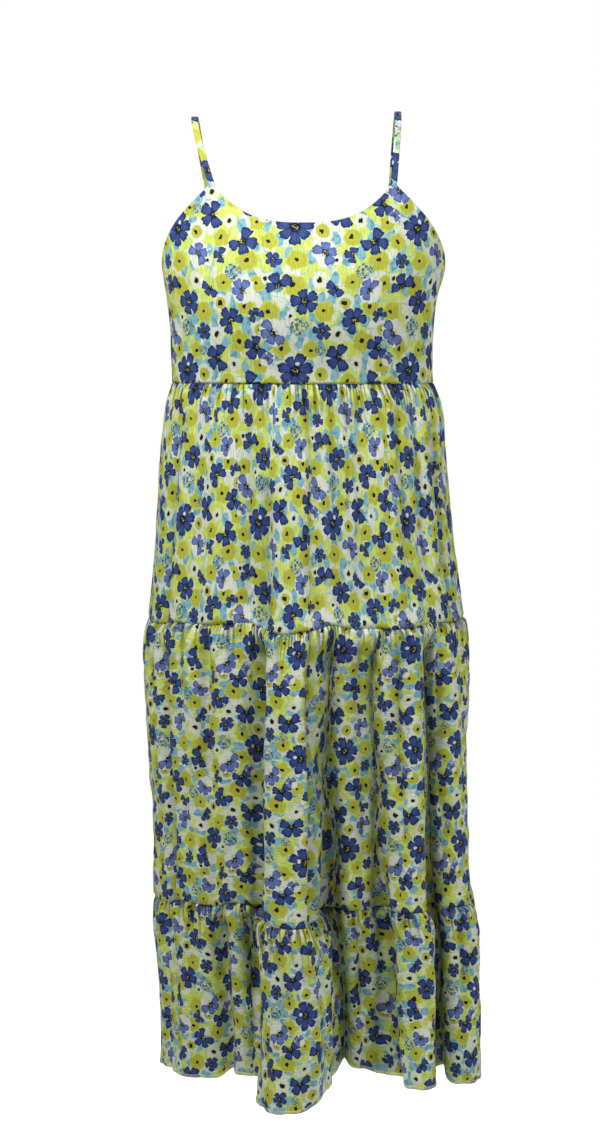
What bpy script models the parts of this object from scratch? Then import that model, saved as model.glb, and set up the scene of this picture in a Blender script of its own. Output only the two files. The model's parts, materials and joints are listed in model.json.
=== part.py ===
"""Sundress with thin straps, a smooth bodice and three gathered tiers, in the form it has when worn.

Metres, +Z up. The origin lies midway between the tops of the two straps, where the wearer carries
the dress. The front faces -Y, and +X is to the viewer's right. Every panel is a thin wall lofted
through level sections, with its gathers and its hanging folds.
"""

import math
from collections import namedtuple

import bmesh
import bpy

NAME = "sundress"

# Driving sizes
WALL = 0.0013
SEAM_GAP = 0.0003
SEAM_1 = -0.320
SEAM_2 = -0.600
SEAM_3 = -0.935
HEM = -1.140

# Level sections: height, centre line, half width, depth in front and depth behind
Section = namedtuple("Section", "z centre half_width front back")
SECTIONS = [
    Section(-0.080, 0.002, 0.168, 0.070, 0.094),
    Section(-0.135, 0.002, 0.168, 0.100, 0.100),
    Section(-0.185, 0.003, 0.168, 0.124, 0.103),
    Section(-0.220, 0.001, 0.161, 0.133, 0.102),
    Section(-0.255, 0.001, 0.157, 0.131, 0.100),
    Section(-0.290, 0.001, 0.156, 0.122, 0.099),
    Section(-0.320, 0.002, 0.156, 0.116, 0.099),
    Section(-0.345, 0.003, 0.163, 0.122, 0.106),
    Section(-0.390, 0.003, 0.169, 0.129, 0.115),
    Section(-0.490, 0.004, 0.177, 0.139, 0.130),
    Section(-0.600, 0.006, 0.189, 0.149, 0.142),
    Section(-0.640, 0.006, 0.193, 0.154, 0.147),
    Section(-0.750, 0.008, 0.191, 0.148, 0.150),
    Section(-0.850, 0.012, 0.188, 0.136, 0.150),
    Section(-0.935, 0.013, 0.188, 0.126, 0.150),
    Section(-0.970, 0.016, 0.190, 0.122, 0.152),
    Section(-1.060, 0.021, 0.188, 0.110, 0.155),
    Section(-1.140, 0.023, 0.187, 0.104, 0.157),
]

# Hanging folds. For each: its bearing in degrees from the middle of the panel, at seam 2, seam 3
# and the hem; its half width in degrees; how far it stands out at the same three levels; how far
# its sides bulge past its foot; and how much the cloth is lifted at the same three levels.
Fold = namedtuple(
    "Fold", "at_2 at_3 at_hem half_width out_2 out_3 out_hem bulge lift_2 lift_3 lift_hem"
)
FRONT_FOLDS = [
    Fold(-73, -73, -73, 16, 0.000, 0.004, 0.010, 0.000, -0.004, -0.003, 0.000),
    Fold(-46, -49, -50, 17, 0.001, 0.012, 0.022, 0.002, 0.002, 0.006, -0.001),
    Fold(-27, -28, -30, 10, 0.001, 0.005, 0.012, 0.001, 0.004, 0.009, 0.006),
    Fold(-4, -6, -10, 15, 0.006, 0.066, 0.102, 0.008, -0.002, -0.006, -0.013),
    Fold(18, 18, 13, 11, 0.000, 0.001, 0.004, 0.000, 0.000, 0.000, 0.011),
    Fold(38, 36, 33, 11, 0.006, 0.032, 0.054, 0.004, 0.000, 0.000, -0.003),
    Fold(60, 61, 60, 18, 0.003, 0.022, 0.029, 0.003, 0.000, -0.003, -0.013),
]
BACK_FOLDS = [
    Fold(-66, -64, -62, 17, 0.002, 0.018, 0.030, 0.003, 0.000, 0.000, -0.004),
    Fold(-37, -38, -38, 15, 0.005, 0.030, 0.046, 0.004, -0.001, 0.000, -0.002),
    Fold(-9, -8, -6, 18, 0.005, 0.040, 0.060, 0.006, 0.000, -0.002, 0.000),
    Fold(20, 21, 23, 13, 0.003, 0.022, 0.036, 0.003, 0.000, 0.002, -0.002),
    Fold(52, 51, 50, 18, 0.005, 0.034, 0.048, 0.004, -0.001, 0.000, -0.003),
]
CREST_FLAT = 2.4
CREST_FOOT = 2

# Gathered tiers: heights of the two seams, and where the swing in the gathers' size starts
Tier = namedtuple("Tier", "name top bottom swing")
TIERS = [
    Tier("tier_1", SEAM_1, SEAM_2, 0.0),
    Tier("tier_2", SEAM_2, SEAM_3, 4.0),
    Tier("tier_3", SEAM_3, HEM, 6.0),
]
GATHERS_A_PANEL = 22
COLUMNS_PER_GATHER = 4
# How the gathers run down a tier: share of its height, size of the close waves, size of the
# waves twice as wide that they merge into. They die out at both seams, where the edges meet.
Puff = namedtuple("Puff", "share close wide")
PUFFS = [
    Puff(0.00, 0.0000, 0.0000),
    Puff(0.04, 0.0030, 0.0008),
    Puff(0.22, 0.0020, 0.0026),
    Puff(0.60, 0.0006, 0.0030),
    Puff(1.00, 0.0000, 0.0000),
]
# Gathers lie unevenly: waves across a panel, each with its count and its share of the panel's
# width, shift them, and their size swings from one to the next
Shift = namedtuple("Shift", "count share")
SHIFTS = [Shift(3, 0.010), Shift(7, 0.003)]
SIZE_MIDDLE = 0.8
SIZE_SWING = 0.3
SIZE_TURN = 2.4

# Upper edge of the bodice: the two points that carry the straps, the height of the points and of
# the neckline's middle, and how sharply the neckline turns up beside the points
BodiceEdge = namedtuple("BodiceEdge", "left_x right_x point_z middle_z curve")
FRONT_EDGE = BodiceEdge(-0.104, 0.108, -0.090, -0.1345, 2.7)
BACK_EDGE = BodiceEdge(-0.099, 0.105, -0.176, -0.198, 2.0)
UNDERARM_Z = -0.186
ARMHOLE_SLANT = 0.6
ARMHOLE_HOOK = 5
BODICE_ROWS = 8
ARMHOLE_COLUMNS = 9
NECK_COLUMNS = 16

# Straps: the side and height of each one's top, and rows that say how far along a row lies, how
# far it has leant from the bodice's point towards the strap's top, and its depth and height
STRAP_WIDTH = 0.0078
STRAP_THICKNESS = 0.0015
STRAP_TOP_LEFT = (-0.1255, -0.0060)
STRAP_TOP_RIGHT = (0.1145, 0.0)
STRAP_SECTIONS = 16
StrapRow = namedtuple("StrapRow", "share lean y z")
STRAP_ROWS = [
    StrapRow(0.00, 0.00, -0.059, -0.0897),
    StrapRow(0.15, 0.45, -0.050, -0.0560),
    StrapRow(0.30, 0.85, -0.034, -0.0220),
    StrapRow(0.42, 1.00, -0.014, -0.0040),
    StrapRow(0.50, 1.00, 0.003, -0.0008),
    StrapRow(0.60, 0.95, 0.025, -0.0100),
    StrapRow(0.72, 0.75, 0.053, -0.0470),
    StrapRow(0.86, 0.35, 0.076, -0.1120),
    StrapRow(1.00, 0.00, 0.080, -0.1757),
]

CREPE_COLOUR = (0.36, 0.45, 0.30, 1.0)
CREPE_ROUGHNESS = 0.85


def smooth(rows, place, column):
    """Reads a column between the rows of a table, on a cubic that passes through every row."""
    places = [abs(row[0]) for row in rows]
    values = [getattr(row, column) for row in rows]
    last = len(rows) - 1
    place = min(max(abs(place), places[0]), places[last])
    i = max(k for k in range(last) if places[k] <= place)

    def slope(k):
        before, after = max(k - 1, 0), min(k + 1, last)
        return (values[after] - values[before]) / (places[after] - places[before])

    span = places[i + 1] - places[i]
    t = (place - places[i]) / span
    rise = values[i + 1] - values[i]
    ease = t * t * (3 - 2 * t)
    ends = slope(i) * (1 - t) - slope(i + 1) * t
    return values[i] + rise * ease + span * t * (1 - t) * ends


def form(behind, at, z):
    """A point of the plain worn form, `at` radians from the middle of its front or its back, and
    the level directions along it and out of it."""
    half_width = smooth(SECTIONS, z, "half_width")
    depth = smooth(SECTIONS, z, "back" if behind else "front")
    side = -1 if behind else 1
    point = (
        smooth(SECTIONS, z, "centre") + side * half_width * math.sin(at),
        -side * depth * math.cos(at),
    )
    along = (side * half_width * math.cos(at), side * depth * math.sin(at))
    length = math.hypot(*along)
    along = (along[0] / length, along[1] / length)
    return point, along, (along[1], -along[0])


def down(z, at_1, at_2, at_3, at_hem):
    """A value at a height, straight between those given at the three seams and the hem."""
    levels = (SEAM_1, SEAM_2, SEAM_3, HEM)
    values = (at_1, at_2, at_3, at_hem)
    i = 0 if z > SEAM_2 else 1 if z > SEAM_3 else 2
    t = (levels[i] - z) / (levels[i] - levels[i + 1])
    return values[i] + (values[i + 1] - values[i]) * t


def hung_point(behind, at, z, gather):
    """A point of a tier: the worn form with its hanging folds, and a gather that stands out."""
    point, along, out = form(behind, at, z)
    stand, spread, lift = gather, 0, 0
    for fold in BACK_FOLDS if behind else FRONT_FOLDS:
        place = down(z, fold.at_2, fold.at_2, fold.at_3, fold.at_hem)
        q = (math.degrees(at) - place) / fold.half_width
        if abs(q) >= 1:
            continue
        crest = (1 - abs(q) ** CREST_FLAT) ** CREST_FOOT
        depth = down(z, 0, fold.out_2, fold.out_3, fold.out_hem)
        stand += crest * depth
        spread += math.sin(math.pi * q) * fold.bulge * depth / fold.out_hem
        lift += crest * down(z, 0, fold.lift_2, fold.lift_3, fold.lift_hem)
    return (
        point[0] + out[0] * stand + along[0] * spread,
        point[1] + out[1] * stand + along[1] * spread,
        z + lift,
    )


def side_gap(z):
    """Half of a side seam's gap, as an angle of the worn form."""
    return SEAM_GAP / 2 / smooth(SECTIONS, z, "front")


def close_wall(name, grid):
    """Makes a closed wall from a grid of outer points, top row first. The inner points lie level
    with the outer ones, so that the edges are flat and meet the next panel squarely."""
    rows, columns = len(grid), len(grid[0])
    bm = bmesh.new()
    outer, inner = [], []
    for row in grid:
        outer.append([bm.verts.new(p) for p in row])
        inner_row = []
        for i, p in enumerate(row):
            before, after = row[max(i - 1, 0)], row[min(i + 1, columns - 1)]
            out = (after[1] - before[1], before[0] - after[0])
            if i in (0, columns - 1):
                out = (p[0], 0)
            reach = WALL / math.hypot(*out)
            inner_row.append(bm.verts.new((p[0] - out[0] * reach, p[1] - out[1] * reach, p[2])))
        inner.append(inner_row)

    def two_triangles(a, b, c, d):
        bm.faces.new((a, b, c))
        bm.faces.new((a, c, d))

    for r in range(rows - 1):
        for c in range(columns - 1):
            a, b, e, d = outer[r][c], outer[r][c + 1], outer[r + 1][c + 1], outer[r + 1][c]
            two_triangles(a, d, e, b)
            a, b, e, d = inner[r][c], inner[r][c + 1], inner[r + 1][c + 1], inner[r + 1][c]
            two_triangles(e, d, a, b)
    for c in range(columns - 1):
        two_triangles(outer[0][c], outer[0][c + 1], inner[0][c + 1], inner[0][c])
        two_triangles(outer[-1][c + 1], outer[-1][c], inner[-1][c], inner[-1][c + 1])
    for r in range(rows - 1):
        two_triangles(outer[r][0], inner[r][0], inner[r + 1][0], outer[r + 1][0])
        two_triangles(inner[r][-1], outer[r][-1], outer[r + 1][-1], inner[r + 1][-1])
    return finish(name, bm)


def finish(name, bm):
    """Turns the mesh into a named object with its own cloth, in the dress's collection."""
    bmesh.ops.recalc_face_normals(bm, faces=bm.faces)
    mesh = bpy.data.meshes.new(name)
    bm.to_mesh(mesh)
    bm.free()
    cloth = bpy.data.materials.new(name + "_crepe")
    cloth.use_nodes = True
    shader = cloth.node_tree.nodes["Principled BSDF"]
    shader.inputs["Base Color"].default_value = CREPE_COLOUR
    shader.inputs["Roughness"].default_value = CREPE_ROUGHNESS
    mesh.materials.append(cloth)
    panel = bpy.data.objects.new(name, mesh)
    bpy.data.collections[NAME].objects.link(panel)
    return panel


def make_tier(tier, behind):
    """One half of a gathered tier, from side seam to side seam."""
    columns = GATHERS_A_PANEL * COLUMNS_PER_GATHER
    top, bottom = tier.top - SEAM_GAP / 2, tier.bottom + SEAM_GAP / 2
    if tier.bottom == HEM:
        bottom = HEM
    grid = []
    for puff in PUFFS:
        z = top + (bottom - top) * puff.share
        row = []
        for i in range(columns + 1):
            u = i / columns
            u += sum(s.share * math.sin(2 * math.pi * s.count * i / columns) for s in SHIFTS)
            at = (u - 0.5) * (math.pi - 2 * side_gap(z))
            which = i / COLUMNS_PER_GATHER
            size = SIZE_MIDDLE + SIZE_SWING * math.sin(SIZE_TURN * which + tier.swing)
            edge = min(i, columns - i, COLUMNS_PER_GATHER) / COLUMNS_PER_GATHER
            turn = 2 * math.pi * which
            waves = puff.close * math.cos(turn) + puff.wide * math.cos(turn / 2)
            row.append(hung_point(behind, at, z, waves * size * edge))
        grid.append(row)
    name = tier.name + ("_back" if behind else "_front")
    return close_wall(name, grid)


def bearing_of(x, behind, z):
    """The angle from the panel's middle at which the worn form has this x."""
    offset = (x - smooth(SECTIONS, z, "centre")) / smooth(SECTIONS, z, "half_width")
    return math.asin(-offset if behind else offset)


def strap_seat(x, behind, z):
    """The two bearings between which a strap's end sits, the nearer to the middle first."""
    sides = (x - STRAP_WIDTH / 2, x + STRAP_WIDTH / 2)
    return sorted((bearing_of(side, behind, z) for side in sides), key=abs)


def spaced(start, end, count):
    """Evenly spaced values from start up to, but not including, end."""
    return [start + (end - start) * i / count for i in range(count)]


def edge_height(edge, at, seat):
    """Height of the bodice's upper edge: neckline inside the strap's seat, armhole outside it."""
    inner, outer = abs(seat[0]), abs(seat[1])
    if abs(at) <= inner:
        return edge.middle_z + (edge.point_z - edge.middle_z) * (abs(at) / inner) ** edge.curve
    if abs(at) <= outer:
        return edge.point_z
    t = (abs(math.sin(at)) - math.sin(outer)) / (1 - math.sin(outer))
    hook = 1 - math.sqrt(1 - t**ARMHOLE_HOOK)
    return edge.point_z + (UNDERARM_Z - edge.point_z) * (
        ARMHOLE_SLANT * t + (1 - ARMHOLE_SLANT) * hook
    )


def make_bodice(behind):
    """The front or back of the bodice, from its upper edge down to seam 1."""
    edge = BACK_EDGE if behind else FRONT_EDGE
    first_x, last_x = edge.left_x, edge.right_x
    if behind:
        first_x, last_x = last_x, first_x
    first = strap_seat(first_x, behind, edge.point_z)
    last = strap_seat(last_x, behind, edge.point_z)
    end = math.pi / 2 - side_gap(SEAM_1)
    columns = spaced(-end, first[1], ARMHOLE_COLUMNS)
    columns += spaced(first[1], first[0], 1)
    columns += spaced(first[0], last[0], NECK_COLUMNS)
    columns += spaced(last[0], last[1], 1)
    columns += spaced(last[1], end, ARMHOLE_COLUMNS) + [end]
    bottom = SEAM_1 + SEAM_GAP / 2
    grid = []
    for r in range(BODICE_ROWS + 1):
        row = []
        for at in columns:
            top = edge_height(edge, at, last if at > 0 else first)
            z = top + (bottom - top) * r / BODICE_ROWS
            (x, y), _, _ = form(behind, at, z)
            row.append((x, y, z))
        grid.append(row)
    return close_wall("bodice_back" if behind else "bodice_front", grid)


def make_strap(name, front_x, top, back_x):
    """A flat band from the bodice's front point, over the top, to its back edge."""
    rings = []
    bm = bmesh.new()
    step = 0.5 / STRAP_SECTIONS
    for i in range(STRAP_SECTIONS + 1):
        share = i / STRAP_SECTIONS
        lean = smooth(STRAP_ROWS, share, "lean")
        end_x = front_x if share < 0.5 else back_x
        x = end_x + (top[0] - end_x) * lean
        y = smooth(STRAP_ROWS, share, "y")
        z = smooth(STRAP_ROWS, share, "z") + top[1] * lean
        dy = smooth(STRAP_ROWS, share + step, "y") - smooth(STRAP_ROWS, share - step, "y")
        dz = smooth(STRAP_ROWS, share + step, "z") - smooth(STRAP_ROWS, share - step, "z")
        out = (-dz, dy)
        if i in (0, STRAP_SECTIONS):
            out = (-1 if i == 0 else 1, 0)
        reach = STRAP_THICKNESS / 2 / math.hypot(*out)
        ring = []
        for side, face in ((-1, 1), (1, 1), (1, -1), (-1, -1)):
            corner = (x + side * STRAP_WIDTH / 2, y + face * out[0] * reach, z + face * out[1] * reach)
            ring.append(bm.verts.new(corner))
        rings.append(ring)
    for before, after in zip(rings, rings[1:]):
        for k in range(4):
            bm.faces.new((before[k], before[k - 1], after[k - 1], after[k]))
    bm.faces.new(rings[0])
    bm.faces.new(rings[-1][::-1])
    return finish(name, bm)


def main():
    for old in list(bpy.data.objects):
        bpy.data.objects.remove(old)
    bpy.context.scene.collection.children.link(bpy.data.collections.new(NAME))
    for behind in (False, True):
        make_bodice(behind)
        for tier in TIERS:
            make_tier(tier, behind)
    make_strap("strap_left", FRONT_EDGE.left_x, STRAP_TOP_LEFT, BACK_EDGE.left_x)
    make_strap("strap_right", FRONT_EDGE.right_x, STRAP_TOP_RIGHT, BACK_EDGE.right_x)


main()
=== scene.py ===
"""Looks of the tiered sundress: thin printed crepe on the solids' own form, with its gathers,
creases, pleats and rolled hem, on a pale floor in soft light.

Metres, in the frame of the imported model: +Z up, the front faces -Y, and the straps' tops are
near z = 0. Angles named `at` run from the middle of a panel to its two side seams.
"""

import json
import math
from collections import namedtuple

import bpy
import numpy as np
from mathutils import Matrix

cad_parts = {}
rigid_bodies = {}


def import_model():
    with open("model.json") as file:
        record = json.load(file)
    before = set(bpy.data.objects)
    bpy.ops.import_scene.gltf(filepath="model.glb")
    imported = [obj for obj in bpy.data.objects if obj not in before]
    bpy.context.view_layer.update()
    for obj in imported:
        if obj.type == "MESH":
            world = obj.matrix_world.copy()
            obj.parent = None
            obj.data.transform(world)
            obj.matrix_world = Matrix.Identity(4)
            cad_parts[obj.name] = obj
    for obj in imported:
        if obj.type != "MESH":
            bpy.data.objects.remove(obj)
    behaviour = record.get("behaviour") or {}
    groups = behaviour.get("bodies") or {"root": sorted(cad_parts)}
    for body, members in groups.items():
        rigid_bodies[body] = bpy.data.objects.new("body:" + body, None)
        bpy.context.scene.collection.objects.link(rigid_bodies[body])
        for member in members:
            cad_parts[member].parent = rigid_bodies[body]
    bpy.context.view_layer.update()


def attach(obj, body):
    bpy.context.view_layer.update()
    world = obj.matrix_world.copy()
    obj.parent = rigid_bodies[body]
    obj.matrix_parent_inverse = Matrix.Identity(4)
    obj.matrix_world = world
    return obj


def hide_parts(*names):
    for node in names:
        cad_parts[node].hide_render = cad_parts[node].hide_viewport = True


for startup_object in list(bpy.data.objects):
    bpy.data.objects.remove(startup_object)
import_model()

BODY = "root"
WHOLE_TURN = 2 * math.pi


def named(kind, *rows):
    """A table's rows with their values named."""
    return [kind(*row) for row in rows]


# Levels of the seams and the hem, as in the solids
SEAM_1 = -0.320
SEAM_2 = -0.600
SEAM_3 = -0.935
HEM = -1.140

# Panels end half a gap from the side seams, where the form is about this deep
SEAM_GAP = 0.0003
SIDE_DEPTH = 0.12
SIDE_END = math.pi / 2 - SEAM_GAP / 2 / SIDE_DEPTH

# Level sections of the worn form, and its oval's length for each half width and radian
Section = namedtuple("Section", "z centre half_width front back")
SECTIONS = named(
    Section,
    (-0.080, 0.002, 0.168, 0.070, 0.094),
    (-0.135, 0.002, 0.168, 0.100, 0.100),
    (-0.185, 0.003, 0.168, 0.124, 0.103),
    (-0.220, 0.001, 0.161, 0.133, 0.102),
    (-0.255, 0.001, 0.157, 0.131, 0.100),
    (-0.290, 0.001, 0.156, 0.122, 0.099),
    (-0.320, 0.002, 0.156, 0.116, 0.099),
    (-0.345, 0.003, 0.163, 0.122, 0.106),
    (-0.390, 0.003, 0.169, 0.129, 0.115),
    (-0.490, 0.004, 0.177, 0.139, 0.130),
    (-0.600, 0.006, 0.189, 0.149, 0.142),
    (-0.640, 0.006, 0.193, 0.154, 0.147),
    (-0.750, 0.008, 0.191, 0.148, 0.150),
    (-0.850, 0.012, 0.188, 0.136, 0.150),
    (-0.935, 0.013, 0.188, 0.126, 0.150),
    (-0.970, 0.016, 0.190, 0.122, 0.152),
    (-1.060, 0.021, 0.188, 0.110, 0.155),
    (-1.140, 0.023, 0.187, 0.104, 0.157),
)
OVAL_SHARE = 0.85

# Hanging folds: bearing at seam 2, seam 3 and the hem and half width in degrees, how far each
# stands out there, how its sides bulge, how it lifts the cloth, and the powers of its crest
Fold = namedtuple(
    "Fold", "at_2 at_3 at_hem half_width out_2 out_3 out_hem bulge lift_2 lift_3 lift_hem"
)
FRONT_FOLDS = named(
    Fold,
    (-73, -73, -73, 16, 0.000, 0.004, 0.010, 0.000, -0.004, -0.003, 0.000),
    (-46, -49, -50, 17, 0.001, 0.012, 0.022, 0.002, 0.002, 0.006, -0.001),
    (-27, -28, -30, 10, 0.001, 0.005, 0.012, 0.001, 0.004, 0.009, 0.006),
    (-4, -6, -10, 15, 0.006, 0.066, 0.102, 0.008, -0.002, -0.006, -0.013),
    (18, 18, 13, 11, 0.000, 0.001, 0.004, 0.000, 0.000, 0.000, 0.011),
    (38, 36, 33, 11, 0.006, 0.032, 0.054, 0.004, 0.000, 0.000, -0.003),
    (60, 61, 60, 18, 0.003, 0.022, 0.029, 0.003, 0.000, -0.003, -0.013),
)
BACK_FOLDS = named(
    Fold,
    (-66, -64, -62, 17, 0.002, 0.018, 0.030, 0.003, 0.000, 0.000, -0.004),
    (-37, -38, -38, 15, 0.005, 0.030, 0.046, 0.004, -0.001, 0.000, -0.002),
    (-9, -8, -6, 18, 0.005, 0.040, 0.060, 0.006, 0.000, -0.002, 0.000),
    (20, 21, 23, 13, 0.003, 0.022, 0.036, 0.003, 0.000, 0.002, -0.002),
    (52, 51, 50, 18, 0.005, 0.034, 0.048, 0.004, -0.001, 0.000, -0.003),
)
CREST_FLAT = 2.4
CREST_FOOT = 2

# Creases: bearing in degrees at top and foot, heights of both, depth, and how far
# the trough reaches to each side
Crease = namedtuple("Crease", "at_top at_foot top foot depth left right")
FRONT_CREASES = named(
    Crease,
    (-62, -64, -0.33, -0.62, 0.0095, 0.010, 0.006),
    (-44, -45, -0.34, -0.52, 0.0050, 0.007, 0.009),
    (-21, -22, -0.33, -0.60, 0.0074, 0.012, 0.006),
    (-13, -14, -0.42, -0.61, 0.0088, 0.014, 0.005),
    (2.5, 2, -0.33, -0.60, 0.0080, 0.006, 0.007),
    (12, 12.5, -0.33, -0.60, 0.0068, 0.008, 0.007),
    (22, 20, -0.33, -0.60, 0.0072, 0.007, 0.010),
    (41, 40, -0.34, -0.60, 0.0070, 0.010, 0.006),
    (52, 52, -0.33, -0.57, 0.0056, 0.008, 0.008),
    (64, 66, -0.36, -0.61, 0.0076, 0.007, 0.010),
    (-60, -60, -0.62, -1.00, 0.0114, 0.007, 0.010),
    (-36, -38, -0.61, -0.80, 0.0057, 0.009, 0.009),
    (-15.5, -21, -0.605, -1.24, 0.0215, 0.008, 0.005),
    (0.5, -0.5, -0.605, -0.97, 0.0120, 0.003, 0.018),
    (9.5, 8.5, -0.605, -1.24, 0.0210, 0.010, 0.006),
    (19, 19, -0.61, -0.90, 0.0076, 0.009, 0.006),
    (25.5, 26.5, -0.605, -1.24, 0.0170, 0.015, 0.004),
    (33.5, 32, -0.605, -0.82, 0.0090, 0.010, 0.006),
    (50, 47, -0.605, -1.24, 0.0210, 0.012, 0.005),
    (53, 52, -0.62, -0.88, 0.0076, 0.006, 0.008),
    (-33, -35, -0.94, -1.24, 0.0120, 0.009, 0.007),
    (-24, -24, -0.94, -1.06, 0.0095, 0.007, 0.007),
    (16, 15, -0.94, -1.08, 0.0095, 0.007, 0.006),
    (56, 58, -0.94, -1.05, 0.0066, 0.006, 0.008),
)
BACK_CREASES = named(
    Crease,
    (-58, -60, -0.33, -0.60, 0.0078, 0.008, 0.008),
    (-34, -33, -0.33, -0.54, 0.0052, 0.007, 0.009),
    (-12, -14, -0.34, -0.61, 0.0072, 0.009, 0.006),
    (6, 7, -0.33, -0.47, 0.0045, 0.006, 0.007),
    (27, 28, -0.33, -0.60, 0.0068, 0.010, 0.007),
    (51, 50, -0.35, -0.58, 0.0060, 0.008, 0.009),
    (-51, -50, -0.605, -1.13, 0.0152, 0.010, 0.006),
    (-24, -25, -0.605, -1.13, 0.0171, 0.008, 0.010),
    (-10, -8, -0.61, -0.84, 0.0076, 0.009, 0.007),
    (9, 10, -0.605, -1.13, 0.0171, 0.007, 0.012),
    (34, 35, -0.605, -1.13, 0.0171, 0.010, 0.007),
    (48, 48, -0.61, -0.90, 0.0068, 0.006, 0.008),
    (71, 72, -0.61, -1.05, 0.0095, 0.007, 0.007),
    (2, 1, -0.94, -1.08, 0.0076, 0.007, 0.008),
    (58, 57, -0.94, -1.06, 0.0076, 0.007, 0.007),
)

# A crease's fade at its ends, the sway of its line in degrees and radians a metre, and steepness
CREASE_FADE = 0.030
CREASE_SWAY = 0.45
CREASE_WAVES = 31
TROUGH_POWER = 1.5

# Cloth hidden in deep creases: from what depth, how much for each metre more, over what width
SHALLOW = 0.0065
FOLDED_AWAY = 2.6
FOLD_LINE = 0.0024

# How much of a crease's depth lifts the hem, and from how far above it
HEM_NOTCH = 0.55
HEM_NOTCH_REACH = 0.08

# Where a seam rises or dips between folds: bearing and reach in degrees, rise, and reach in height
SeamWave = namedtuple("SeamWave", "seam at reach rise")
SEAM_WAVES = named(
    SeamWave,
    (SEAM_2, -20, 5, 0.0050),
    (SEAM_2, -8, 6, -0.0050),
    (SEAM_2, 8.5, 4, 0.0045),
    (SEAM_2, 33, 7, -0.0030),
    (SEAM_2, 52, 6, 0.0020),
)
SEAM_WAVE_REACH = 0.05

# Tiers: both seams, the flat cut, the size of print on it (more, as the crinkles take some up),
# whether the print lies on its side, its start, how far the cloth puffs out, rows, and a seed
Tier = namedtuple("Tier", "name top bottom cut printed sideways start puff rows seed")
TIERS = named(
    Tier,
    ("tier_1", SEAM_1, SEAM_2, (0.660, 0.300), (0.760, 0.300), False, (0.031, 0.052), 0.0020, 84, 11),
    ("tier_2", SEAM_2, SEAM_3, (0.800, 0.360), (1.060, 0.410), True, (0.067, 0.018), 0.0042, 96, 23),
    ("tier_3", SEAM_3, HEM, (0.900, 0.225), (1.300, 0.252), True, (0.012, 0.094), 0.0042, 66, 37),
)
BACK_SEED = 100

# Columns are spaced by the cloth this far up a tier and in part by angle, and rows crowd at its top
TIER_COLUMNS = 380
ANGLE_SHARE = 0.35
COLUMN_LEVEL = 0.35
FINE_BEARINGS = 4001
ROW_CROWDING = 1.25

# Gathers below a seam: spacing, the least and most of their height, width and length, how far they
# drift to a side, and how soon they rise
Gathers = namedtuple("Gathers", "spacing height width reach drift onset")
FINE_GATHERS = Gathers(0.0078, (0.0020, 0.0044), (0.0034, 0.0050), (0.014, 0.065), 0.03, 0.004)
PUFFED_GATHERS = Gathers(0.0125, (0.0032, 0.0080), (0.0048, 0.0076), (0.018, 0.080), 0.04, 0.003)
LONG_GATHERS = Gathers(0.0210, (0.0028, 0.0070), (0.0080, 0.0120), (0.090, 0.400), 0.02, 0.014)
DEEP_GATHERS = Gathers(0.0290, (0.0036, 0.0090), (0.0110, 0.0165), (0.120, 0.500), 0.03, 0.016)
GATHER_STEPS = (0.6, 1.4)
GATHER_SPREAD = 0.8
GATHERS_SUNK = 0.6

# Puffs below a seam, tucks at both seams, and the calmer cloth beside the side seams
PUFF_REACH = 0.0060
PUFF_FADE = 0.05
EDGE_TUCK = 0.0005
START_TUCK = 0.0013
START_TUCK_REACH = 0.0012
SEAM_ALLOWANCE = 0.0015
PUCKER_UP = 0.005
SIDE_CALM = 0.010
SIDE_SHARE = 0.25
SIDE_REACH = 0.055

# Random waves of the hanging cloth: how far they stand out, and their width and height
Waves = namedtuple("Waves", "out width height")
CRUMPLES = Waves(0.0016, 0.030, 0.060)
CRINKLES = Waves(0.0013, 0.012, 0.024)
CRINKLE_SLANT = 0.4
RIPPLES = Waves(0.00045, 0.007, 0.016)

CLOTH_THICKNESS = 0.0006

# The map named pleats holds this plus the distance below a gathered seam, and 0 elsewhere. Then
# how far down the fine pleats run, and how deep they are beside the crinkle
PLEATED = 1.0
PLEAT_REACH = (0.008, 0.062)
PLEAT_DEPTH = 2.2

# Painted shade in a crease: its full depth, how sharply it starts and its share of a pleat's shade
HOLLOW_DEPTH = 0.0170
HOLLOW_EDGE = 1.1
PAINTED_CREASE_SHADE = 0.50
# How dark the painted shade between the pleats and in the creases is at its strongest
PAINTED_SHADE_STRENGTH = 0.80

# Bodice panels: the straps' places and the upper edge as in the solids, flat cut, print and seed
Bodice = namedtuple("Bodice", "name left_x right_x point_z middle_z curve cut start seed")
BODICE_FRONT = Bodice(
    "bodice_front", -0.104, 0.108, -0.090, -0.1345, 2.7, (0.480, 0.240), (0.118, 0.021), 53
)
BODICE_BACK = Bodice(
    "bodice_back", -0.099, 0.105, -0.176, -0.198, 2.0, (0.440, 0.160), (0.030, 0.110), 61
)
UNDERARM_Z = -0.186
ARMHOLE_SLANT = 0.6
ARMHOLE_HOOK = 5
BODICE_ROWS = 76
BODICE_CROWDING = 1.2
ARMHOLE_COLUMNS = 56
SEAT_COLUMNS = 6
NECK_COLUMNS = 110

# Its turned-in edges: how wide, thick and high they are, and the groove beside them
EDGE_TURN = 0.0045
EDGE_THICKNESS = 0.0014
EDGE_RISE = 0.0003
EDGE_GROOVE = 0.00025
EDGE_GROOVE_AT = 0.0055
EDGE_GROOVE_REACH = 0.0012

# Its faint waves, and how far from its edge, waist and sides they have their full height
BODICE_WAVES = Waves(0.0007, 0.035, 0.05)
BODICE_CRINKLES = Waves(0.00025, 0.006, 0.04)
CALM_EDGE = 0.02
CALM_WAIST = 0.015
CALM_SIDE = 0.03

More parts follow.
